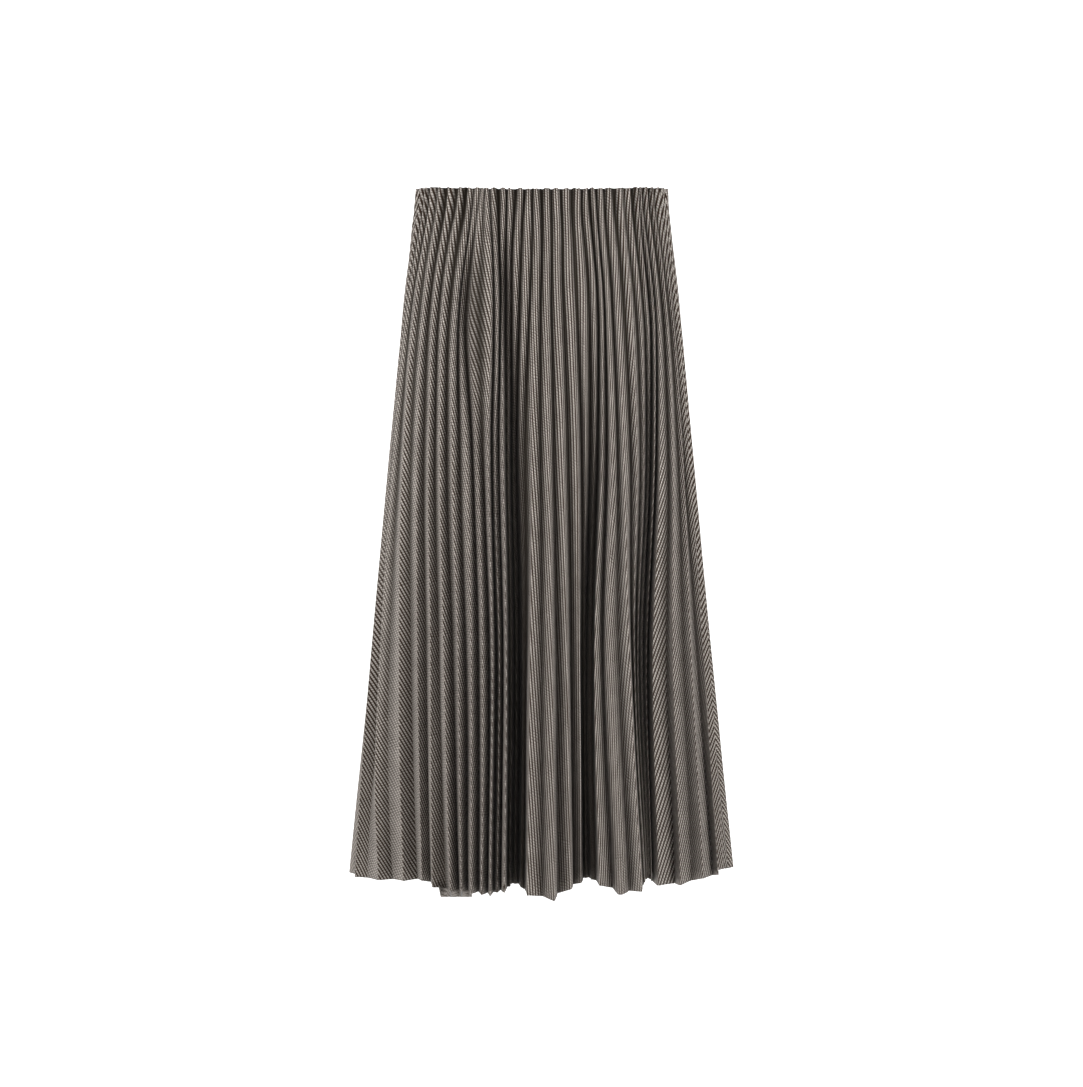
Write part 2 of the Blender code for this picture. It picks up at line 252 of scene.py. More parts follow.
def fold_at(fold, below):
    """A tip at a distance below the waist."""
    places = (fold.waist, fold.hip, fold.thigh, fold.calf, fold.hem)
    set_backs = (0.0, fold.back_hip, fold.back_thigh, fold.back_calf, fold.back_hem)
    levels = (ELASTIC_HEIGHT,) + FOLD_LEVELS[1:]
    set_back = through(levels, set_backs, max(below, ELASTIC_HEIGHT))
    lean = EVEN_LEAN + (fold.lean - EVEN_LEAN) * opened(below)
    bends = TIP_BENDS[:3] + (0.5 * (TIP_BENDS[3] + fold.round), fold.round)
    return Tip(
        through(FOLD_LEVELS, places, below),
        max(set_back, 0.0) * MILLIMETRE,
        lean,
        fold.drop * MILLIMETRE,
        through(FOLD_LEVELS, bends, below) * MILLIMETRE,
    )


def recess_share(number, recess):
    """How deep inside a recess a back pleat hangs, from 0 to 1 at its middle."""
    reach = 0.5 * recess.pleats + 0.5
    return max(0.0, 1.0 - (abs(number - recess.middle) / reach) ** 2)


def wave_at(wave, number):
    """The height of a wave at one of the back's pleats, from -1 to 1."""
    return math.sin(wave.rate * number + wave.phase)


def back_folds_at(below):
    """The back's tips, from the right seam to the left one."""
    fall = ramp(below, ELASTIC_HEIGHT, LENGTH) ** RECESS_FALL
    gaps = []
    for k in range(BACK_PLEATS - 1):
        hidden = max(recess_share(k + 0.5, recess) for recess in BACK_RECESSES)
        uneven = BACK_WANDER * sum(wave_at(wave, k) for wave in BACK_WANDER_WAVES)
        gaps.append(1.0 + fall * (uneven * (1.0 - hidden) - RECESS_SQUEEZE * hidden))
    first = fold_at(BACK_FIRST, below)
    last = fold_at(BACK_LAST, below)
    tips = [first]
    done = 0.0
    for k, gap in enumerate(gaps):
        done += gap
        place = first.place + (last.place - first.place) * done / sum(gaps)
        share = max(recess_share(k + 1, recess) for recess in BACK_RECESSES)
        depth = max(recess.depth * recess_share(k + 1, recess) for recess in BACK_RECESSES)
        drop = BACK_DROP * wave_at(BACK_DROP_WAVE, k) * (1.0 - share)
        tips.append(Tip(place, fall * depth, EVEN_LEAN, drop, first.soft))
    tips[-1] = last
    return tips


def valley_between(below, tip, next_tip):
    """The inner fold between two tips, as deep as the cloth's width lets it be."""
    start = round_the_body(below, tip.place, tip.inward)
    end = round_the_body(below, next_tip.place, next_tip.inward)
    chord = end - start
    inward = inward_at(below, (1.0 - tip.lean) * tip.place + tip.lean * next_tip.place)
    along = abs(chord.dot(inward))
    pitch = math.sqrt(max(chord.length ** 2 - along ** 2, 0.0))
    width = face_width(below)
    folded = math.sqrt(max(width ** 2 - 0.25 * chord.length ** 2, (LEAST_RELIEF * width) ** 2))
    stretch = math.hypot(folded * along, width * pitch) / chord.length
    free_pitch = max(pitch - CROWDED_PITCH, LEAST_FREE_PITCH * pitch)
    relief = min(width * folded / stretch, 0.5 * along + CROWDED_RELIEF * free_pitch)
    gathered = 1.0 - ramp(below, ELASTIC_HEIGHT, 2.0 * ELASTIC_HEIGHT)
    relief = gathered * WAIST_RELIEF + (1.0 - gathered) * relief
    return start + chord * tip.lean + inward * relief


def flattened(below, corner):
    """How flat an inner fold is pressed at the gathers, from 0 to 1."""
    for fold in FLAT_FOLDS:
        if fold.corner == corner:
            return fold.share * math.exp(-below / fold.reach)
    return 0.0


def folded_round(below):
    """The corners of the zigzag all round, from the front's first tip."""
    tips = [fold_at(fold, below) for fold in FRONT_FOLDS] + back_folds_at(below)
    half_width = outline_at(below, True)[0]
    strayed = []
    for number, tip in enumerate(tips):
        place = tip.place + math.degrees(wander(number, below, SIDEWAYS) / half_width)
        inward = tip.inward + INWARD_WANDER * abs(wander(number, below, INWARD))
        strayed.append(tip._replace(place=place, inward=max(inward, 0.0)))
    strayed.append(strayed[0]._replace(place=strayed[0].place + 360.0))
    corners = []
    for number, (tip, next_tip) in enumerate(zip(strayed, strayed[1:])):
        start = round_the_body(below, tip.place, tip.inward)
        end = round_the_body(below, next_tip.place, next_tip.inward)
        corners.append(Corner(start, tip.drop, tip.soft))
        valley = valley_between(below, tip, next_tip)
        valley = valley.lerp(0.5 * (start + end), flattened(below, 2 * number + 1))
        corners.append(Corner(valley, 0.5 * (tip.drop + next_tip.drop), VALLEY_BEND))
    return corners


def height_of(below, point, drop):
    """Height of a point of the cloth that lies a distance below the waist's sides."""
    half_width, depth = outline_at(below, point.y < 0.0)
    facing = math.atan2(point.x / half_width, -point.y / depth)
    dip = WAIST_DIP * max(math.cos(facing), 0.0) * (1.0 - opened(below))
    at_corner = math.sin(facing) ** CORNER_SHARPNESS * math.exp(-below / ELASTIC_HEIGHT)
    dip += CORNER_DIP * at_corner
    lift = HEM_LIFT * math.sin(2.0 * facing) ** 2 * opened(below) ** 2
    return -below - dip + lift - drop * opened(below) ** 3


# The cloth of both panels: grey wales of short slanted floats, with dark brown grooves between
# them, along the grain. The wrong side is plain grey, with a fine twill. The pitches are in
# metres, and what follows them is counted in wales and floats.
WALE_PITCH = 0.0044
WALE_EDGES = (0.16, 0.32)
FLOAT_PITCH = 0.0031
FLOAT_EDGES = (0.5, 0.12)
FLOAT_SLANT = 0.9
FLOAT_STAGGER = 0.62
FLOAT_STRAY = 3.0
YARN_SCALE = 900.0
PATCH_SCALE = 45.0
PATCH_DETAIL = 3.0
WALE_COLOUR = (0.440, 0.402, 0.368, 1.0)
WALE_SHADE = (0.040, 0.033, 0.028, 1.0)
GROOVE_COLOUR = (0.022, 0.013, 0.008, 1.0)
# The painted shade that the cloth darkens to in recesses and creases.
RECESS_SHADE_COLOUR = (0.010, 0.007, 0.004, 1.0)
TWILL_LINES = 2.5
WRONG_SIDE_COLOUR = (0.15, 0.15, 0.145, 1.0)
WRONG_SIDE_SHADE = (0.11, 0.11, 0.105, 1.0)

# How bright the threads are, always and by float, twill, rib, yarn and patch of cloth, how far
# each of these stands out, and how rough the cloth is.
LIT = 0.20
LIT_BY_FLOAT = 0.60
LIT_BY_YARN = 1.2
LIT_BY_PATCH = 0.4
WALE_RELIEF = 0.6
FLOAT_RELIEF = 0.4
YARN_RELIEF = 0.3
RELIEF_STRENGTH = 0.35
RELIEF_HEIGHT = 0.0006
ROUGHNESS = 0.82
ROUGHNESS_BY_YARN = 0.12
WRONG_SIDE_LIT = 0.2
WRONG_SIDE_LIT_BY_TWILL = 0.3
WRONG_SIDE_LIT_BY_RIB = 0.15
WRONG_SIDE_LIT_BY_YARN = 0.4
TWILL_RELIEF = 0.5
WRONG_SIDE_YARN_RELIEF = 0.4
WRONG_SIDE_STRENGTH = 0.25
WRONG_SIDE_HEIGHT = 0.0004
WRONG_SIDE_ROUGHNESS = 0.86
WRONG_SIDE_ROUGHNESS_BY_YARN = 0.1


class Wire:
    """A shader socket that takes part in sums, so that a pattern reads as a formula."""

    def __init__(self, tree, socket=None):
        self.tree = tree
        self.socket = socket

    def node(self, kind, settings, sockets, output=0):
        made = self.tree.nodes.new(kind)
        for name, value in settings.items():
            setattr(made, name, value)
        for name, value in sockets.items():
            self.feed(made.inputs[name], value)
        return Wire(self.tree, made.outputs[output])

    def feed(self, target, value):
        if isinstance(value, Wire):
            self.tree.links.new(value.socket, target)
        else:
            target.default_value = value

    def maths(self, operation, *values):
        settings = {"operation": operation}
        return self.node("ShaderNodeMath", settings, dict(enumerate(values)))

    def __add__(self, other):
        return self.maths("ADD", self, other)

    def __radd__(self, other):
        return self.maths("ADD", other, self)

    def __sub__(self, other):
        return self.maths("SUBTRACT", self, other)

    def __rsub__(self, other):
        return self.maths("SUBTRACT", other, self)

    def __mul__(self, other):
        return self.maths("MULTIPLY", self, other)

    def __rmul__(self, other):
        return self.maths("MULTIPLY", other, self)

    def __truediv__(self, other):
        return self.maths("DIVIDE", self, other)

    def fraction(self):
        return self.maths("FRACT", self)

    def whole(self):
        return self.maths("FLOOR", self)

    def magnitude(self):
        return self.maths("ABSOLUTE", self)

    def sine(self):
        return self.maths("SINE", self)

    def wave(self, count):
        """Swings from 0 to 1 and back, a number of times while this grows by 1."""
        return (self * (2.0 * math.pi * count)).sine() * 0.5 + 0.5

    def from_half(self):
        """How far this is from the middle between two whole numbers."""
        return (self.fraction() - 0.5).magnitude()

    def step(self, start, end):
        """Rises smoothly from 0 at start to 1 at end."""
        sockets = {"Value": self, "From Min": start, "From Max": end}
        return self.node("ShaderNodeMapRange", {"interpolation_type": "SMOOTHSTEP"}, sockets)

    def mix(self, colour, other):
        """The first colour where this is 0, and the other where it is 1."""
        sockets = {0: self, 6: colour, 7: other}
        return self.node("ShaderNodeMix", {"data_type": "RGBA"}, sockets, 2)

    def bump(self, strength, distance):
        """The shading normal over a relief of this height."""
        sockets = {"Height": self, "Strength": strength, "Distance": distance}
        return self.node("ShaderNodeBump", {}, sockets)

    def yarns(self, scale):
        """The unevenness of single yarns, at a place on flat cloth."""
        scaled = {0: self, "Scale": scale}
        fine = self.node("ShaderNodeVectorMath", {"operation": "SCALE"}, scaled)
        return self.node("ShaderNodeTexNoise", {}, {"Vector": fine, "Scale": 1.0, "Detail": 2.0})


def new_material(name):
    """A material, a wire to start its pattern from, and its shader's sockets."""
    material = bpy.data.materials.new(name)
    material.use_nodes = True
    shader = material.node_tree.nodes["Principled BSDF"]
    return material, Wire(material.node_tree), shader.inputs


def flat_place(wire, layer):
    """The place on the flat piece in metres, and its two coordinates."""
    place = wire.node("ShaderNodeUVMap", {"uv_map": layer}, {})
    first = wire.node("ShaderNodeSeparateXYZ", {}, {0: place}, 0)
    second = wire.node("ShaderNodeSeparateXYZ", {}, {0: place}, 1)
    return place, first, second


def painted(wire, name):
    """The value of an attribute that is painted on the mesh."""
    return wire.node("ShaderNodeAttribute", {"attribute_name": name}, {}, 2)


def striped_material():
    material, wire, shader = new_material("striped_cloth_right_side")
    place, first, second = flat_place(wire, "cut")
    across = first / WALE_PITCH
    along = second / FLOAT_PITCH
    yarn = place.yarns(YARN_SCALE)
    settings = {"Vector": place, "Scale": PATCH_SCALE, "Detail": PATCH_DETAIL}
    patch = wire.node("ShaderNodeTexNoise", {}, settings)
    wale = 1.0 - across.from_half().step(*WALE_EDGES)
    slant = along + (across.fraction() - 0.5) * FLOAT_SLANT
    slant = slant + across.whole() * FLOAT_STAGGER + patch * FLOAT_STRAY
    float_top = slant.from_half().step(*FLOAT_EDGES)
    lit = LIT + float_top * LIT_BY_FLOAT + (yarn - 0.5) * LIT_BY_YARN
    lit = lit + (patch - 0.5) * LIT_BY_PATCH
    shown = 1.0 - (1.0 - wale) * painted(wire, "grooves")
    cloth = shown.mix(GROOVE_COLOUR, lit.mix(WALE_SHADE, WALE_COLOUR))
    # Painted shade: the cloth darkens towards the recess shade where the painted light is low.
    wire.feed(shader["Base Color"], painted(wire, "light").mix(RECESS_SHADE_COLOUR, cloth))
    relief = wale * (WALE_RELIEF + FLOAT_RELIEF * float_top) + yarn * YARN_RELIEF
    wire.feed(shader["Normal"], relief.bump(RELIEF_STRENGTH, RELIEF_HEIGHT))
    wire.feed(shader["Roughness"], ROUGHNESS + yarn * ROUGHNESS_BY_YARN)
    shader["Sheen Weight"].default_value = 0.03
    shader["Sheen Roughness"].default_value = 0.6
    shader["Specular IOR Level"].default_value = 0.10
    return material


def wrong_side_material():
    material, wire, shader = new_material("striped_cloth_wrong_side")
    place, first, second = flat_place(wire, "cut")
    across = first / WALE_PITCH
    along = second / WALE_PITCH
    yarn = place.yarns(YARN_SCALE)
    twill = (across + along).wave(TWILL_LINES)
    rib = across.wave(1.0)
    lit = WRONG_SIDE_LIT + twill * WRONG_SIDE_LIT_BY_TWILL + rib * WRONG_SIDE_LIT_BY_RIB
    lit = lit + yarn * WRONG_SIDE_LIT_BY_YARN
    wire.feed(shader["Base Color"], lit.mix(WRONG_SIDE_SHADE, WRONG_SIDE_COLOUR))
    relief = twill * TWILL_RELIEF + yarn * WRONG_SIDE_YARN_RELIEF
    wire.feed(shader["Normal"], relief.bump(WRONG_SIDE_STRENGTH, WRONG_SIDE_HEIGHT))
    wire.feed(shader["Roughness"], WRONG_SIDE_ROUGHNESS + yarn * WRONG_SIDE_ROUGHNESS_BY_YARN)
    shader["Specular IOR Level"].default_value = 0.2
    return material


RIGHT_SIDE = striped_material()
WRONG_SIDE = wrong_side_material()


# Two values painted on the cloth. "grooves" says how much of the grooves shows: all on a face
# turned to the viewer's right, less on one turned left, where the wales hide them. "light" says
# how much light reaches a place between the folds. Tuples hold values at the five levels.

# Grooves: from which sideways turn to which a face gets them, the least of them at each level,
# and the middle of the skirt, in shares of its half width, where more of them show.
PLAIN_FACING = -0.95
STRIPED_FACING = -0.30
LEAST_GROOVES = (0.88, 0.80, 0.68, 0.60, 0.58)
MIDDLE_TO = 0.62
MIDDLE_FADE = 0.30
MIDDLE_GROOVES = 0.80

# Light: by level, by depth inside the outline in shares of a face's width, less so towards the
# sides of the hem, and by how near an inner fold is.
LIGHT_BY_LEVEL = (1.00, 0.97, 0.92, 0.83, 0.77)
LIT_TO = 0.45
DARK_FROM = 1.5
DARKEST = 0.64
SIDE_FROM = 0.525
SIDE_TO = 0.565
CREASE_SHADE_BY_LEVEL = (0.95, 0.95, 0.85, 0.55, 0.22)
CREASE_FROM = 0.30
CREASE_TO = 0.90

# Painted shade in a deep crease from the waist down: its corner, how dark it is, and how far
# down it reaches. It is darkest up to one distance from its corner and ends at another, in
# shares of a face.
CreaseShade = namedtuple("CreaseShade", "corner dark reach")
DEEP_CREASE_SHADE = (
    CreaseShade(3, 0.75, 0.05),
    CreaseShade(7, 0.70, 0.10),
    CreaseShade(11, 1.00, 0.11),
    CreaseShade(21, 1.00, 0.13),
    CreaseShade(25, 0.70, 0.07),
    CreaseShade(31, 0.85, 0.10),
    CreaseShade(37, 0.50, 0.06),
    CreaseShade(41, 0.85, 0.12),
    CreaseShade(47, 0.55, 0.07),
    CreaseShade(51, 0.80, 0.08),
    CreaseShade(57, 0.90, 0.12),
)
DEEP_TO = 1.0 / 3.0
DEEP_END = 1.0


def grooves_at(below, point, out):
    """How much of the grooves shows on a point that faces a direction, from 0 to 1."""
    viewed = math.copysign(1.0, -out.y)
    turned = ramp(out.x * viewed, PLAIN_FACING, STRIPED_FACING)
    half_width = outline_at(below, True)[0]
    middle = (MIDDLE_TO - abs(point.x) / half_width) / MIDDLE_FADE
    shown = smooth(max(turned, min(middle, MIDDLE_GROOVES)))
    least = through(FOLD_LEVELS, LEAST_GROOVES, below)
    return least + (1.0 - least) * shown


def light_by_depth(below, point):
    """How much light reaches a point inside the outline, from 1 at the outline inward."""
    half_width, depth = outline_at(below, point.y < 0.0)
    reach = math.hypot(point.x / half_width, point.y / depth)
    steepness = math.hypot(point.x / half_width ** 2, point.y / depth ** 2) / reach
    inside = (1.0 - reach) / steepness / face_width(below)
    deep = smooth(ramp(inside, LIT_TO, DARK_FROM))
    aside = ramp(abs(point.x) / half_width, SIDE_FROM, SIDE_TO) * opened(below)
    return 1.0 - DARKEST * deep * (1.0 - aside)


def light_by_crease(below, share, in_front):
    """How much light reaches a place between a tip and an inner fold."""
    from_tip = abs((share + 1.0) % 2.0 - 1.0)
    crease = smooth(ramp(from_tip, CREASE_FROM, CREASE_TO))
    crease *= through(FOLD_LEVELS, CREASE_SHADE_BY_LEVEL, below)
    if not in_front:
        return 1.0 - crease
    light = 1.0 - crease * (1.0 - flattened(below, 2 * math.floor(0.5 * share) + 1))
    for deep in DEEP_CREASE_SHADE:
        near = ramp(abs(share - deep.corner), DEEP_END, DEEP_TO)
        light *= 1.0 - deep.dark * near * math.exp(-below / deep.reach)
    return light


def light_at(below, point, share):
    """How much light reaches a point of the cloth, by its depth, its fold and its level."""
    light = light_by_depth(below, point) * light_by_crease(below, share, point.y < 0.0)
    return light * through(FOLD_LEVELS, LIGHT_BY_LEVEL, below)


# One pleated panel of cloth, through lines of points from the waist to the hem. Its edges are
# turned to the inside: a narrow hem, the allowance over the elastic at the top, and a seam
# allowance at each side.
CLOTH_THICKNESS = 0.0006
TURNED_GAP = 0.0009
HEM_TURN = 0.008
TOP_TURN = 0.006
SEAM_COLUMNS = 5
SEAM_GROOVE = 0.0003
FINE_ROWS_TO = 0.048
FINE_ROW = 0.006
ROW = 0.0125
TIP_PUFFS = (0.75, 0.7, 0.5, 0.2, 0.0)
MOST_BENT = 0.45
TIP_SAMPLES = 5
VALLEY_SAMPLES = 3
BOWS = (0.0004, 0.0008, 0.0012, 0.0016, 0.0016)
BOW_STEP = 3.7
BOW_RATE = 4.0
BOW_KIND = 9.1
TOP_BUMPS = 0.0016
BUMP_RATE = 1.7
BUMP_KIND = 3.3
STRIPE_EASE = 0.12
EASE_LENGTH = 0.25

# A point of a line round the skirt, with how many corners it lies past the zigzag's first, and
# the same as a point of the cloth, with its place on the flat panel and its painted values.
Point = namedtuple("Point", "place drop share")
Spot = namedtuple("Spot", "place flat grooves light share")

# Where the hem's allowance has come loose and hangs below the hem: from and to which corner, and
# its edge's depth and height in the frame. Its ends are that many corners wide.
Loose = namedtuple("Loose", "start end depth level")
LOOSE_END = 0.15
LOOSE_LIGHT = 0.60


def new_mesh(name, points, faces):
    """A mesh that is shaded smooth."""
    mesh = bpy.data.meshes.new(name)
    mesh.from_pydata(points, [], faces)
    mesh.polygons.foreach_set("use_smooth", [True] * len(mesh.polygons))
    return mesh


def new_object(name, data):
    """An object, linked into the scene."""
    made = bpy.data.objects.new(name, data)
    bpy.context.scene.collection.objects.link(made)
    return made


def thicken(piece, name, thickness):
    """Gives a sheet its thickness, half of it to each side."""
    wall = piece.modifiers.new(name, "SOLIDIFY")
    wall.thickness = thickness
    wall.offset = 0.0
    return wall


def cloth_rows():
    """Distances below the waist of the lines of points, closer together near the waist."""
    rows = [FINE_ROW * k for k in range(round(FINE_ROWS_TO / FINE_ROW))]
    left = LENGTH - FINE_ROWS_TO
    count = round(left / ROW)
    rows += [FINE_ROWS_TO + left * k / count for k in range(count + 1)]
    return rows


def bend(corner, before, after, cut, puff, samples, number, drop):
    """Points round a fold, on a curve that swells past its corner when it is puffed."""
    back = before - corner
    onward = after - corner
    back_cut = min(cut, MOST_BENT * back.length)
    onward_cut = min(cut, MOST_BENT * onward.length)
    start = corner + back.normalized() * back_cut
    end = corner + onward.normalized() * onward_cut
    pull = corner + (corner - 0.5 * (start + end)) * puff
    back_share = back_cut / back.length
    onward_share = onward_cut / onward.length
    points = []
    for sample in range(samples):
        t = sample / (samples - 1)
        place = start * (1.0 - t) ** 2 + pull * (2.0 * t * (1.0 - t)) + end * t * t
        share = number - back_share * (1.0 - t) ** 2 + onward_share * t * t
        points.append(Point(place, drop, share))
    return points


def face_points(start, end, bow):
    """Two points on the face between two bends, bowed out of its plane."""
    across = end.place - start.place
    out = Vector((across.y, -across.x)).normalized() * bow
    points = []
    for t in (1.0 / 3.0, 2.0 / 3.0):
        place = start.place.lerp(end.place, t) + out
        share = start.share + (end.share - start.share) * t
        drop = start.drop + (end.drop - start.drop) * t
        points.append(Point(place, drop, share))
    return points


def panel_points(below, first, last):
    """A panel's points at one height, from seam to seam, in the middle of two faces."""
    corners = folded_round(below)
    count = len(corners)
    tip_puff = through(FOLD_LEVELS, TIP_PUFFS, below)
    bow_size = through(FOLD_LEVELS, BOWS, below)
    line = []
    for number in range(first, last + 1):
        corner, drop, soft = corners[number % count]
        before = corners[(number - 1) % count].place
        after = corners[(number + 1) % count].place
        is_tip = number % 2 == 0
        puff = tip_puff if is_tip else 0.0
        samples = TIP_SAMPLES if is_tip else VALLEY_SAMPLES
        bent = bend(corner, before, after, soft, puff, samples, number, drop)
        if number == first:
            seam = Point(0.5 * (before + corner), drop, number - 0.5)
            line += [seam] + face_points(seam, bent[0], 0.0)
        else:
            uneven = noise.noise(Vector((BOW_STEP * number, BOW_RATE * below, BOW_KIND)))
            line += face_points(line[-1], bent[0], bow_size * uneven)
        line += bent
        if number == last:
            seam = Point(0.5 * (corner + after), drop, number + 0.5)
            line += face_points(bent[-1], seam, 0.0) + [seam]
    return line


def outward_at(line, column):
    """The outward direction at right angles to a line of points, at one of them."""
    before = line[max(column - 1, 0)].place
    after = line[min(column + 1, len(line) - 1)].place
    along = (after - before).normalized()
    return Vector((along.y, -along.x))


def panel_row(below, first, last, inward, grain):
    """The spots of one row, from the one seam allowance to the other."""
    line = panel_points(below, first, last)
    faces = last - first + 1
    end = len(line) - 1
    allowance = range(SEAM_COLUMNS, -1, -1)
    columns = [(k, TURNED_GAP) for k in allowance]
    columns += [(k, SEAM_GROOVE if k in (0, end) else 0.0) for k in range(end + 1)]
    columns += [(end - k, TURNED_GAP) for k in reversed(allowance)]
    radius = WAIST_CUT_RADIUS + below
    eased = radius + STRIPE_EASE * math.exp(-below / EASE_LENGTH)
    row = []
    for column, shift in columns:
        point = line[column]
        out = outward_at(line, column)
        place = point.place - out * (shift + inward)
        bump = TOP_BUMPS * noise.noise(Vector((BUMP_RATE * point.share, 0.0, BUMP_KIND)))
        height = height_of(below, point.place, point.drop)
        height += bump * math.exp(-below / GATHER_LENGTH)
        across = (point.share - first + 0.5) / faces - 0.5
        turn = math.radians(PANEL_ANGLE * across - grain)
        flat = (eased * math.sin(turn), -radius * math.cos(turn))
        grooves = grooves_at(below, place, out)
        light = light_at(below, place, point.share)
        row.append(Spot((place.x, place.y, height), flat, grooves, light, point.share))
    return row


def loosened(spot, loose, hanging):
    """A spot of the allowance, plain where it is loose; its edge hangs down there."""
    past_start = (spot.share - loose.start) / LOOSE_END
    before_end = (loose.end - spot.share) / LOOSE_END
    hangs = max(min(past_start, before_end, 1.0), 0.0)
    place = spot.place
    if hanging:
        lowered = Vector((place[0], loose.depth, loose.level))
        place = tuple(Vector(place).lerp(lowered, hangs))
    grooves = spot.grooves * (1.0 - hangs)
    light = spot.light + (LOOSE_LIGHT - spot.light) * hangs
    return Spot(place, spot.flat, grooves, light, spot.share)


def panel_rows(first, last, grain, loose_hems):
    """A panel's rows, from the edge of the top's allowance to the edge of the hem's."""
    rows = [panel_row(TOP_TURN, first, last, TURNED_GAP, grain)]
    rows.append(panel_row(0.0, first, last, TURNED_GAP, grain))
    rows += [panel_row(below, first, last, 0.0, grain) for below in cloth_rows()]
    inner_hem = panel_row(LENGTH, first, last, TURNED_GAP, grain)
    edge = panel_row(LENGTH - HEM_TURN, first, last, TURNED_GAP, grain)
    for loose in loose_hems:
        inner_hem = [loosened(spot, loose, False) for spot in inner_hem]
        edge = [loosened(spot, loose, True) for spot in edge]
    return rows + [inner_hem, edge]


def cloth_panel(name, first, last, grain, loose_hems):
    """A panel from one corner of the zigzag to another, with its grain turned in degrees."""
    rows = panel_rows(first, last, grain, loose_hems)
    columns = len(rows[0])
    spots = [spot for row in rows for spot in row]
    faces = []
    for row in range(len(rows) - 1):
        for column in range(columns - 1):
            top = row * columns + column
            under = top + columns
            faces.append((top, under, under + 1, top + 1))
    mesh = new_mesh(name, [spot.place for spot in spots], faces)
    cut = mesh.uv_layers.new(name="cut")
    for loop in mesh.loops:
        cut.data[loop.index].uv = spots[loop.vertex_index].flat
    grooves = mesh.attributes.new("grooves", "FLOAT", "POINT")
    grooves.data.foreach_set("value", [spot.grooves for spot in spots])
    light = mesh.attributes.new("light", "FLOAT", "POINT")
    light.data.foreach_set("value", [spot.light for spot in spots])
    mesh.materials.append(RIGHT_SIDE)
    mesh.materials.append(WRONG_SIDE)
    panel = new_object(name, mesh)
    wall = thicken(panel, "cloth", CLOTH_THICKNESS)
    wall.material_offset = 1
    return panel


# The front panel is striped cloth, cut as a part of a ring 82 degrees wide with the grain down
# its middle, and sewn to the back panel at both sides. It hangs with deep recesses left of the
# middle, right of it and before the right side, and a piece of its hem is loose.
FRONT_GRAIN = 4.5
LOOSE_HEMS = (Loose(8.5, 14.1, -0.142, -0.8330),)
front_last = 2 * FRONT_PLEATS - 1
front = cloth_panel("front_panel_cloth", -1, front_last, FRONT_GRAIN, LOOSE_HEMS)
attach(front, "root")
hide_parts("front_panel")


# The back panel is the same cloth, cut and pleated like the front one, and sewn to it at both
# sides. It hangs in four groups of pleats with recesses between them.
BACK_GRAIN = 0.0
back_last = 2 * (FRONT_PLEATS + BACK_PLEATS) - 2
back = cloth_panel("back_panel_cloth", front_last + 1, back_last, BACK_GRAIN, ())
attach(back, "root")
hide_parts("back_panel")


# The elastic is a knitted band sewn inside the waist with a zigzag stitch near each edge. It
# has fine ribs all round and ripples a little between the pleats.
BAND_THICKNESS = 0.0012
BAND_INWARD = 0.0090
BAND_STEPS = 260
BAND_ROWS = 12
BAND_RIPPLE = 0.00025
BAND_RIPPLES = 65
BAND_YARN_SCALE = 1200.0
RIB_PITCH = 0.0016
RIB_EDGES = (0.5, 0.1)
KNIT_EDGES = (0.5, 0.2)
STITCH_LENGTH = 0.0028
STITCH_WIDTH = 0.0022
STITCH_FROM_EDGE = 0.005
THREAD_EDGES = (0.00024, 0.00056)
BAND_COLOUR = (0.055, 0.052, 0.05, 1.0)
BAND_SHADE = (0.028, 0.026, 0.025, 1.0)
THREAD_COLOUR = (0.16, 0.15, 0.14, 1.0)
BAND_LIT_BY_RIB = 0.6
BAND_LIT_BY_KNIT = 0.2
BAND_LIT_BY_YARN = 0.3
RIB_RELIEF = 0.6
KNIT_RELIEF = 0.3
BAND_STRENGTH = 0.5
BAND_HEIGHT = 0.0004
BAND_ROUGHNESS = 0.7
BAND_ROUGHNESS_BY_YARN = 0.2


def elastic_material():
    material, wire, shader = new_material("knitted_elastic")
    place, along, down = flat_place(wire, "band")
    yarn = place.yarns(BAND_YARN_SCALE)
    rib = (down / RIB_PITCH).from_half().step(*RIB_EDGES)
    knit = (along / RIB_PITCH).from_half().step(*KNIT_EDGES)
    swing = (along / STITCH_LENGTH).from_half() * 2.0 - 0.5
    from_edge = ELASTIC_HEIGHT * 0.5 - (down - ELASTIC_HEIGHT * 0.5).magnitude()
    from_stitch = (from_edge - STITCH_FROM_EDGE - swing * STITCH_WIDTH).magnitude()
    thread = 1.0 - from_stitch.step(*THREAD_EDGES)
    lit = rib * BAND_LIT_BY_RIB + knit * BAND_LIT_BY_KNIT + yarn * BAND_LIT_BY_YARN
    band = lit.mix(BAND_SHADE, BAND_COLOUR)
    wire.feed(shader["Base Color"], thread.mix(band, THREAD_COLOUR))
    relief = rib * RIB_RELIEF + knit * KNIT_RELIEF + thread
    wire.feed(shader["Normal"], relief.bump(BAND_STRENGTH, BAND_HEIGHT))
    wire.feed(shader["Roughness"], BAND_ROUGHNESS + yarn * BAND_ROUGHNESS_BY_YARN)
    return material


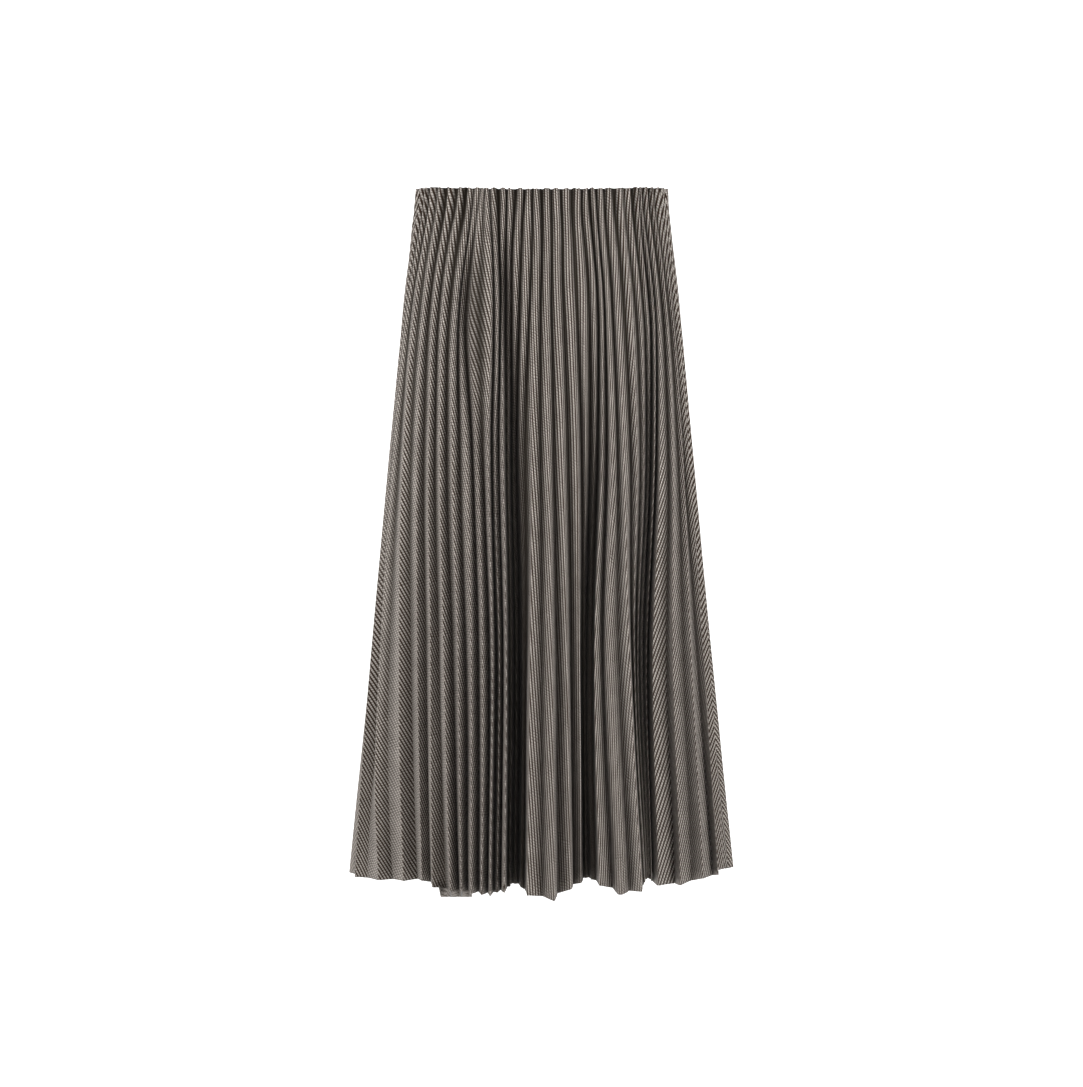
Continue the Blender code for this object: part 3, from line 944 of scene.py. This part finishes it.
def elastic_band():
    """The band as a ring, with its flat coordinates along and down it."""
    places = []
    flats = []
    round_length = 0.0
    before = round_the_body(0.0, 0.0, BAND_INWARD)
    for step in range(BAND_STEPS + 1):
        turn = 360.0 * step / BAND_STEPS
        even = round_the_body(0.0, turn, BAND_INWARD)
        round_length += (even - before).length
        before = even
        ripple = BAND_RIPPLE * math.sin(math.radians(turn) * BAND_RIPPLES)
        place = round_the_body(0.0, turn, BAND_INWARD + ripple)
        for row in range(BAND_ROWS + 1):
            drop = ELASTIC_HEIGHT * row / BAND_ROWS
            places.append((place.x, place.y, height_of(0.0, place, 0.0) - drop))
            flats.append((round_length, drop))
    faces = []
    for step in range(BAND_STEPS):
        for row in range(BAND_ROWS):
            here = step * (BAND_ROWS + 1) + row
            beside = here + BAND_ROWS + 1
            faces.append((here, here + 1, beside + 1, beside))
    count = BAND_STEPS * (BAND_ROWS + 1)
    joined = [tuple(corner % count for corner in face) for face in faces]
    mesh = new_mesh("waist_elastic_band", places[:count], joined)
    band = mesh.uv_layers.new(name="band")
    corners = [corner for face in faces for corner in face]
    for loop, corner in enumerate(corners):
        band.data[loop].uv = flats[corner]
    mesh.materials.append(elastic_material())
    piece = new_object("waist_elastic_band", mesh)
    thicken(piece, "band", BAND_THICKNESS)
    return piece


elastic = elastic_band()
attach(elastic, "root")
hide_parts("waist_elastic")


# The stage: a plain pale floor that curves up into a wall behind the skirt, well away from it.
FLOOR_BELOW = -1.15
STAGE_HALF_WIDTH = 7.0
STAGE_PROFILE = ((-5.0, 0.0), (2.0, 0.0), (2.6, 0.09), (3.1, 0.35), (3.4, 0.8), (3.5, 5.0))
STAGE_COLOUR = (0.86, 0.86, 0.86, 1.0)
STAGE_ROUGHNESS = 0.9
STAGE_GLOW = 0.7

stage_points = []
for along, up in STAGE_PROFILE:
    stage_points.append((-STAGE_HALF_WIDTH, along, FLOOR_BELOW + up))
    stage_points.append((STAGE_HALF_WIDTH, along, FLOOR_BELOW + up))
stage_faces = [(2 * k, 2 * k + 1, 2 * k + 3, 2 * k + 2) for k in range(len(STAGE_PROFILE) - 1)]
stage_mesh = new_mesh("floor", stage_points, stage_faces)
stage_material, _, stage_shader = new_material("pale_floor")
stage_shader["Base Color"].default_value = STAGE_COLOUR
stage_shader["Roughness"].default_value = STAGE_ROUGHNESS
stage_shader["Emission Color"].default_value = STAGE_COLOUR
stage_shader["Emission Strength"].default_value = STAGE_GLOW
stage_mesh.materials.append(stage_material)
floor = new_object("floor", stage_mesh)


# The light is soft and even from both sides, with a little from the front and above.
Lamp = namedtuple("Lamp", "name place size watts")
LAMPS = (
    Lamp("left_softbox", (-2.5, -1.9, 0.55), 1.8, 102.0),
    Lamp("right_softbox", (2.5, -1.9, 0.55), 1.8, 109.0),
    Lamp("front_fill", (0.0, -3.6, 1.2), 1.8, 20.0),
)
LAMP_TARGET = Vector((0.0, 0.0, -0.42))
WORLD_COLOUR = (1.0, 1.0, 1.0, 1.0)
WORLD_STRENGTH = 0.26

for lamp in LAMPS:
    light = bpy.data.lights.new(lamp.name, "AREA")
    light.energy = lamp.watts
    light.size = lamp.size
    lamp_object = new_object(lamp.name, light)
    lamp_object.location = lamp.place
    aim = LAMP_TARGET - lamp_object.location
    lamp_object.rotation_euler = aim.to_track_quat("-Z", "Y").to_euler()

world = bpy.data.worlds.new("studio")
world.use_nodes = True
background = world.node_tree.nodes["Background"]
background.inputs["Color"].default_value = WORLD_COLOUR
background.inputs["Strength"].default_value = WORLD_STRENGTH
bpy.context.scene.world = world
bpy.context.scene.view_settings.view_transform = "Standard"


# The camera looks straight along +Y at half the skirt's height, from three metres.
CAMERA_PLACE = (0.0, -3.0, -0.429)
CAMERA_LENS = 83.1
camera_data = bpy.data.cameras.new("camera")
camera_data.sensor_fit = "HORIZONTAL"
camera_data.lens = CAMERA_LENS
camera = new_object("camera", camera_data)
camera.location = CAMERA_PLACE
camera.rotation_euler = (math.radians(90.0), 0.0, 0.0)
bpy.context.scene.camera = camera
